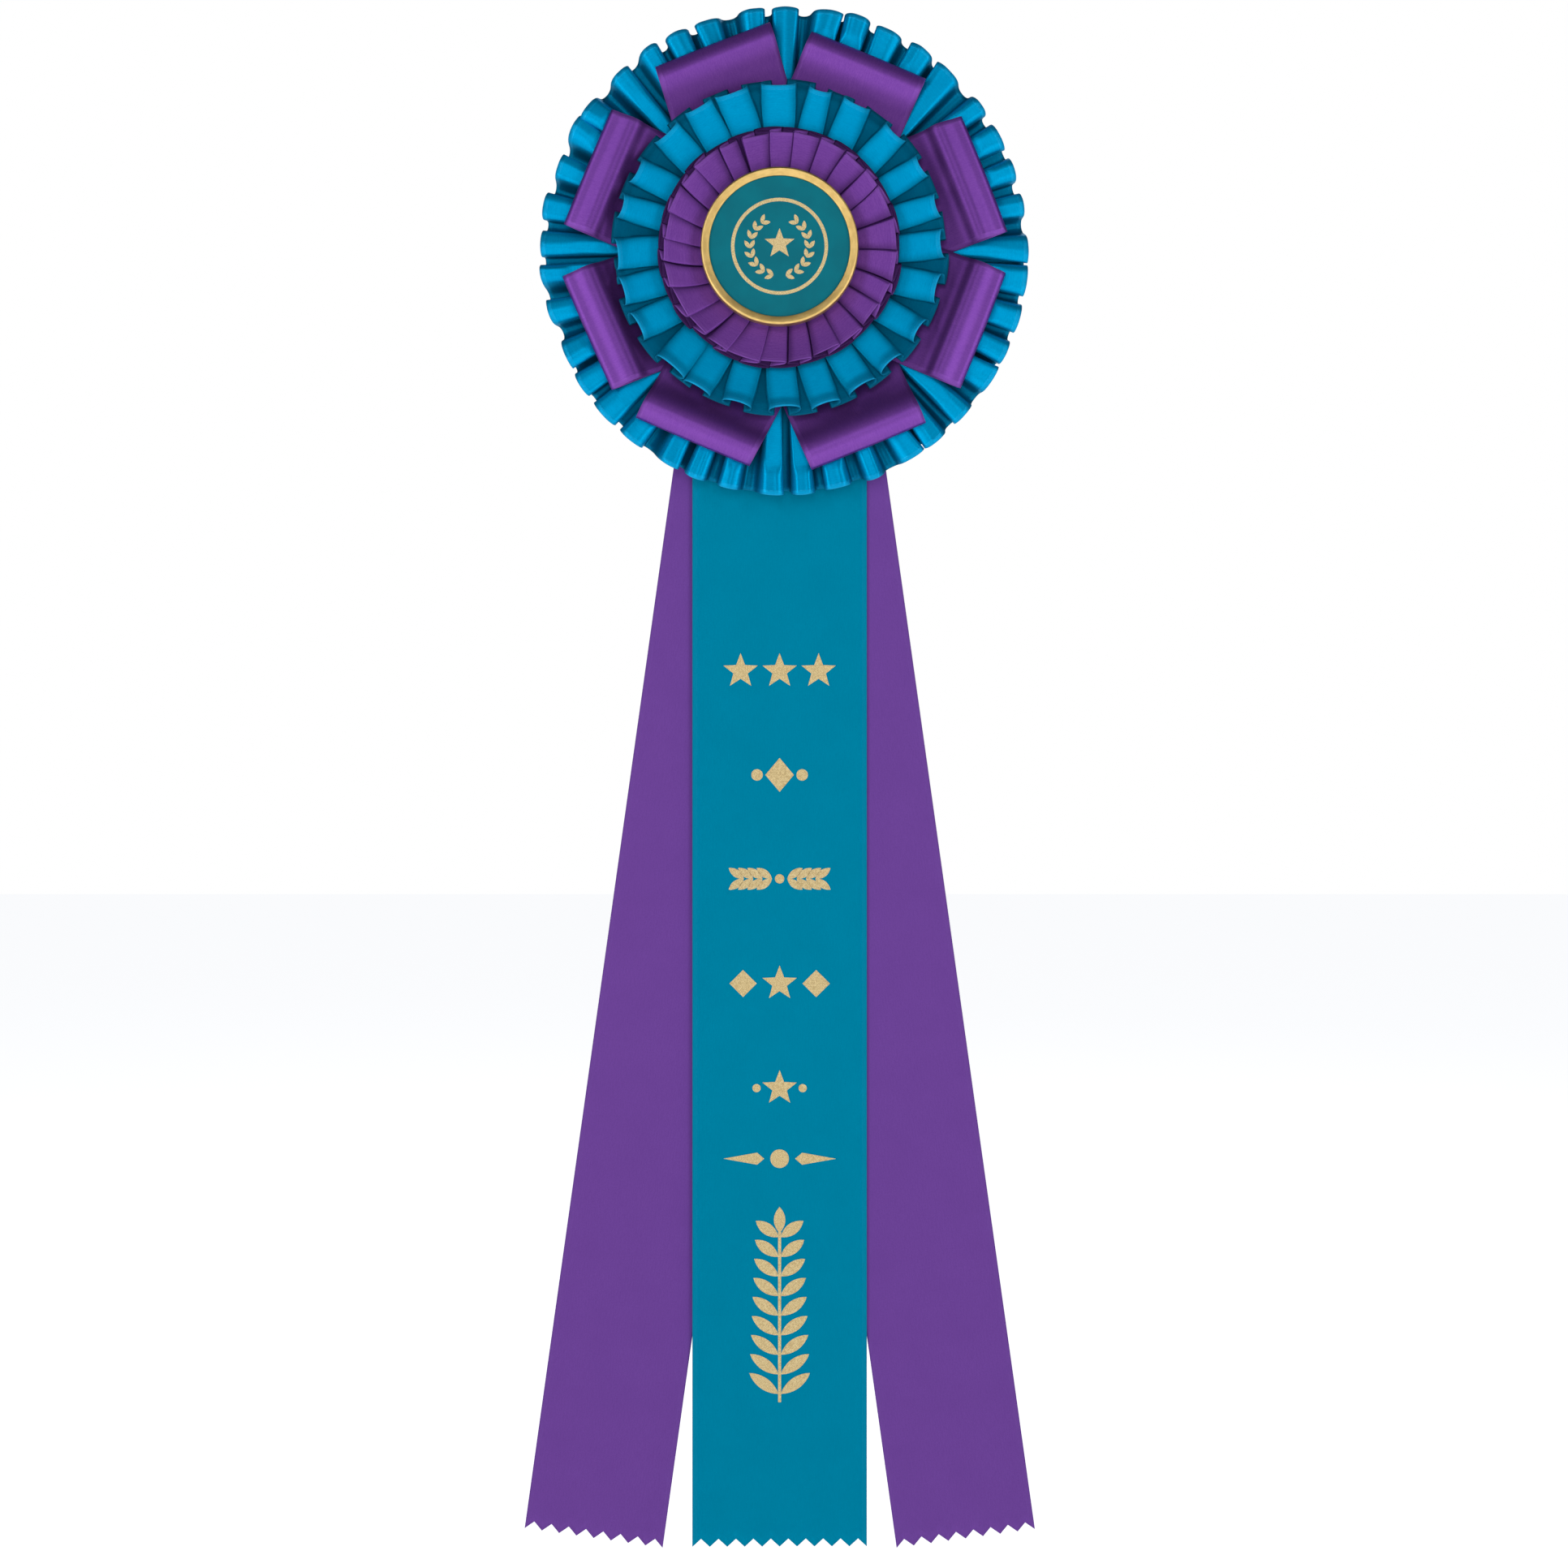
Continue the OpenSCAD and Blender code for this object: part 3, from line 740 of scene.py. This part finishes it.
def rim_profile():
    """Rolled gold rim: straight wall, round shoulder, sloping bevel and a turned-in lip."""
    outline = [(RIM_R - RIM_WALL, RIM_BACK), (RIM_R, RIM_BACK)]
    shoulder = 0.0009
    for k in range(9):
        a = math.pi / 2 * k / 8
        outline.append((RIM_R - shoulder + shoulder * math.cos(a),
                        RIM_FRONT - shoulder + shoulder * math.sin(a)))
    lip = FACE_FRONT + 0.0001
    bead = 0.00035
    for k in range(7):
        a = math.pi / 2 + math.pi / 2 * k / 6
        outline.append((RIM_OPEN + bead + bead * math.cos(a),
                        lip + bead + bead * math.sin(a)))
    outline += [(RIM_OPEN, lip), (RIM_R - RIM_WALL, lip)]
    return outline


rim = lathe("rim_rolled", rim_profile(), RIM)
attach(rim, "rosette")
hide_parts("button_rim")


def face_piece():
    """The printed cloth face, a disc of rings stretched flat over its board."""
    radius = half_width("button_face")
    rings, segments = 12, 96
    points, faces = [place(0, 0, FACE_FRONT)], []
    for k in range(1, rings + 1):
        r = radius * k / rings
        for i in range(segments):
            a = TAU * i / segments
            points.append(place(r * math.sin(a), r * math.cos(a), FACE_FRONT))
    for i in range(segments):
        k = (i + 1) % segments
        faces.append((0, 1 + k, 1 + i))
        for ring in range(rings - 1):
            low, high = 1 + ring * segments, 1 + (ring + 1) * segments
            faces.append((low + i, low + k, high + k, high + i))
    piece = new_piece("face_cloth", points, faces, FACE)
    thicken(piece, FACE_T, offset=-1.0)
    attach(piece, "rosette")
    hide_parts("button_face")


face_piece()


# --- generic printed ornaments ----------------------------------------------------------------
def star(x, z, radius, inner=0.42, points=5):
    return [(x + radius * (inner if k % 2 else 1) * math.sin(math.pi * k / points),
             z + radius * (inner if k % 2 else 1) * math.cos(math.pi * k / points))
            for k in range(2 * points)]


def disc(x, z, radius, sides=28):
    return [(x + radius * math.sin(TAU * k / sides), z + radius * math.cos(TAU * k / sides))
            for k in range(sides)]


def lozenge(x, z, half_x, half_z):
    return [(x, z + half_z), (x + half_x, z), (x, z - half_z), (x - half_x, z)]


def leaf(x, z, length, breadth, heading, sides=9):
    """A pointed leaf from its foot at x, z; heading is in radians clockwise from up."""
    c, s = math.cos(heading), math.sin(heading)
    right = [(breadth * math.sin(math.pi * k / sides) ** 0.8, length * k / sides)
             for k in range(sides + 1)]
    left = [(-a, b) for a, b in right[-2:0:-1]]
    return [(x + a * c + b * s, z - a * s + b * c) for a, b in right + left]


def stem(x, z0, z1, half):
    return [(x - half, z0), (x - half, z1), (x + half, z1), (x + half, z0)]


def ring_outlines(x, z, radius, half, parts=72):
    """A ring as short quads, since an outline has no hole in it."""
    quads = []
    for k in range(parts):
        a, b = TAU * k / parts, TAU * (k + 1) / parts
        quads.append([(x + r * math.sin(t), z + r * math.cos(t))
                      for r, t in ((radius + half, a), (radius + half, b),
                                   (radius - half, b), (radius - half, a))])
    return quads


RING_R, RING_HALF = 0.01675, 0.00062
EMBLEM_STAR_R, EMBLEM_STAR_UP = 0.0056, 0.0009
LAUREL_R, LAUREL_PAIRS = 0.0106, 8


def emblem():
    """A ring round a laurel and a star."""
    shapes = ring_outlines(AXIS_X, AXIS_Z, RING_R, RING_HALF)
    shapes.append(star(AXIS_X, AXIS_Z + EMBLEM_STAR_UP, EMBLEM_STAR_R))
    for side in (-1, 1):
        for k in range(LAUREL_PAIRS):
            a = math.radians(168 - 18.5 * k)
            x, z = LAUREL_R * math.sin(a), LAUREL_R * math.cos(a)
            for swing in (-0.55, 0.55):
                heading = a - math.pi / 2 + swing
                shapes.append([(AXIS_X + side * (p - AXIS_X), q) for p, q in
                               leaf(AXIS_X + x, AXIS_Z + z, 0.0034, 0.00075, heading)])
    return shapes


foil_face = flat_piece("foil_emblem", emblem(), lambda x, z: BACK_Y - FACE_FRONT, FOIL,
                       FOIL_FACE_T)
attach(foil_face, "rosette")


# --- streamers --------------------------------------------------------------------------------
BEND_Z = next(j for j in frame["joints"] if j["name"] == "centre_flap")["pos_m"][2]
# the soft waves' depth, and how far below the bend they reach it
RIPPLE, RIPPLE_REACH = 0.00035, 0.25
TILT = math.radians(8)
CROSS_UP = 0.015
TOOTH = 0.00635
TOOTH_DEPTH = 0.0029


def ripple(x, z, phase):
    """How far the cloth stands off its flat plane: long soft waves that fade toward the top."""
    low = min(1.0, max(0.0, (BEND_Z - z) / RIPPLE_REACH))
    return low * RIPPLE * (math.sin(x * 42 + z * 13 + phase) + 0.6 * math.sin(z * 31 - phase))


def level_of(node):
    low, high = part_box(node)
    return (low.y + high.y) / 2


def streamer(name, nodes, tilt, start_up, above, length, width, phase, look):
    """A ribbon whose middle line starts start_up above the rosette's centre and leans by tilt.
    From there it goes on upward by above, behind the rosette, and down by length to its pinked
    end."""
    level = level_of(nodes[1])
    teeth = round(width / TOOTH)
    per_tooth = 8
    cols = teeth * per_tooth + 1
    rows = 150
    grid = np.zeros((rows, cols, 3))
    uv = np.zeros((rows, cols, 2))
    for j in range(cols):
        u = width * (j / (cols - 1) - 0.5)
        saw = abs((j / per_tooth) % 1 - 0.5) * 2
        end = length - TOOTH_DEPTH * (1 - saw)
        for i in range(rows):
            s = -above + (end + above) * i / (rows - 1)
            x = u * math.cos(tilt) + s * math.sin(tilt)
            up = start_up + u * math.sin(tilt) - s * math.cos(tilt)
            z = AXIS_Z + up
            grid[i, j] = (AXIS_X + x, level + ripple(x, z, phase), z)
            uv[i, j] = (s, u + width / 2)
    piece = grid_piece(name, grid, uv, look)
    thicken(piece, RIBBON_T)
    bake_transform(piece)
    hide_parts(*nodes)


PHASE = 0.4
CENTRE_HIDDEN, SIDE_HIDDEN = 0.025, 0.012
CENTRE_W = 2 * half_width("centre_streamer")
CENTRE_LENGTH = AXIS_Z - LOW_Z
CENTRE_LOOK = satin("satin_teal_streamer", CENTRE_W, TEAL_FLAT, TEAL_FLAT_DEEP,
                    roughness=0.6, metallic=0.0, anisotropic=0.2, selvedge=0.35)
streamer("streamer_centre", ("centre_tab", "centre_streamer"), 0.0, 0.0,
         CENTRE_HIDDEN, CENTRE_LENGTH, CENTRE_W, PHASE, CENTRE_LOOK)
SIDE_W, SIDE_LENGTH = 0.0508, 0.487
SIDE_LOOK = satin("satin_purple_streamer", SIDE_W, PURPLE_FLAT, PURPLE_FLAT_DEEP,
                  roughness=0.6, metallic=0.0, anisotropic=0.2, selvedge=0.35)
for side, lean in (("left", -TILT), ("right", TILT)):
    streamer(f"streamer_{side}", (f"{side}_tab", f"{side}_streamer"), lean,
             CROSS_UP, SIDE_HIDDEN, SIDE_LENGTH, SIDE_W, PHASE, SIDE_LOOK)


# --- foil print down the centre streamer ------------------------------------------------------
CENTRE_FRONT = level_of("centre_streamer") - RIBBON_T / 2


def on_centre(x, z):
    """The front of the centre streamer at a point."""
    return CENTRE_FRONT + ripple(x - AXIS_X, z, PHASE)


LEAF_HALF, TIP_LEAF = 0.0021, 0.0095
STAR_R = 0.0066
LOZENGE_HALF = 0.0062
# how far the middle of each ornament lies below the rosette's axis
ROWS_DOWN = (0.15145, 0.1892, 0.2270, 0.2651, 0.3032)
RULE_DOWN = 0.3289
SPRIG_DOWN, SPRIG_TALL, SPRIG_WIDE, SPRIG_PAIRS = 0.38195, 0.071, 0.0213, 9


def sprig(x, z, tall, wide, pairs):
    """An upright laurel sprig: a stem with pairs of leaves and one at the tip."""
    spread = 0.95
    shapes = [stem(x, z - tall / 2, z + tall / 2 - 0.004, 0.00055)]
    reach = wide / 2 / math.sin(spread)
    for k in range(pairs):
        foot = z - tall / 2 + 0.003 + (tall - 0.014) * k / (pairs - 1)
        for side in (-1, 1):
            shapes.append(leaf(x + side * 0.0004, foot, reach * (1 - 0.25 * k / pairs),
                               LEAF_HALF, side * spread))
    shapes.append(leaf(x, z + tall / 2 - TIP_LEAF, TIP_LEAF, LEAF_HALF, 0.0))
    return shapes


def ornament_rows():
    """Generic rows in place of the lettering: stars, lozenges and leaves of the same sizes."""
    row = [AXIS_Z - down for down in ROWS_DOWN]
    x = AXIS_X
    shapes = [star(x + k * 0.0142, row[0], STAR_R) for k in (-1, 0, 1)]
    shapes += [lozenge(x, row[1], 0.0052, LOZENGE_HALF)]
    shapes += [disc(x + k * 0.0082, row[1], 0.0021) for k in (-1, 1)]
    for side in (-1, 1):
        for k in range(4):
            for swing in (-0.62, 0.62):
                shapes.append(leaf(x + side * (0.0028 + 0.0034 * k), row[2], 0.0068, 0.0014,
                                   side * math.pi / 2 + swing))
    shapes += [disc(x, row[2], 0.0017)]
    shapes += [star(x, row[3], STAR_R)]
    shapes += [lozenge(x + k * 0.0133, row[3], 0.0050, LOZENGE_HALF * 0.8) for k in (-1, 1)]
    shapes += [star(x, row[4], STAR_R)]
    shapes += [disc(x + k * 0.0084, row[4], 0.0015) for k in (-1, 1)]
    rule = AXIS_Z - RULE_DOWN
    shapes += [disc(x, rule, 0.0034)]
    for side in (-1, 1):
        shapes.append([(x + side * a, rule + b) for a, b in (
            (0.0056, 0.0), (0.0082, 0.0022), (0.0205, 0.0), (0.0082, -0.0022))])
    shapes += sprig(x, AXIS_Z - SPRIG_DOWN, SPRIG_TALL, SPRIG_WIDE, SPRIG_PAIRS)
    return shapes


foil_print = flat_piece("foil_print", ornament_rows(), on_centre, FOIL, FOIL_RIBBON_T)
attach(foil_print, "centre_tail")


# --- floor, world and lights ------------------------------------------------------------------
SPAN = 6.0
FLOOR_Z = LOW_Z - 0.03
floor_mesh = bpy.data.meshes.new("floor")
floor_mesh.from_pydata([(-SPAN, -SPAN, FLOOR_Z), (SPAN, -SPAN, FLOOR_Z), (SPAN, SPAN, FLOOR_Z),
                        (-SPAN, SPAN, FLOOR_Z)], [], [(0, 1, 2, 3)])
floor = bpy.data.objects.new("floor", floor_mesh)
bpy.context.collection.objects.link(floor)
floor_look = Nodes("floor_pale", Roughness=0.9, Emission_Color=(1, 1, 1, 1),
                   Emission_Strength=0.9)
grain = floor_look.noise(floor_look.position(), 3.0, 2.0)
floor_look.out("Base Color", floor_look.blend(grain, (0.93, 0.93, 0.93, 1),
                                              (0.96, 0.96, 0.96, 1)))
floor_mesh.materials.append(floor_look.material)


def studio_world(seen, lighting):
    """A white surround behind the object, and a softer, cooler one as a source of light."""
    world = bpy.data.worlds.new("studio")
    world.use_nodes = True
    tree = world.node_tree
    path = tree.nodes.new("ShaderNodeLightPath")
    choose = tree.nodes.new("ShaderNodeMix")
    choose.data_type = "RGBA"
    choose.inputs[6].default_value = lighting
    choose.inputs[7].default_value = seen
    tree.links.new(path.outputs["Is Camera Ray"], choose.inputs[0])
    tree.links.new(choose.outputs[2], tree.nodes["Background"].inputs["Color"])
    bpy.context.scene.world = world


studio_world((1, 1, 1, 1), (0.055, 0.065, 0.085, 1))


def area_light(name, where, aim, wide, tall, power):
    """A rectangular lamp; its size is in metres and its power in watts."""
    data = bpy.data.lights.new(name, "AREA")
    data.shape = "RECTANGLE"
    data.size = wide
    data.size_y = tall
    data.energy = power
    lamp = bpy.data.objects.new(name, data)
    lamp.location = where
    direction = Vector(aim) - Vector(where)
    lamp.rotation_euler = direction.to_track_quat("-Z", "Y").to_euler()
    bpy.context.collection.objects.link(lamp)


TARGET = (AXIS_X, CENTRE_Y, AXIS_Z - 0.10)
area_light("side_left", (-0.85, -0.85, 0.08), TARGET, 0.40, 1.30, 4.7)
area_light("side_right", (0.85, -0.85, 0.08), TARGET, 0.40, 1.30, 4.2)
area_light("front", (-0.05, -1.3, 0.22), TARGET, 0.6, 0.6, 2.8)
area_light("rear", (0.35, 0.95, 0.90), TARGET, 0.6, 0.6, 2.0)
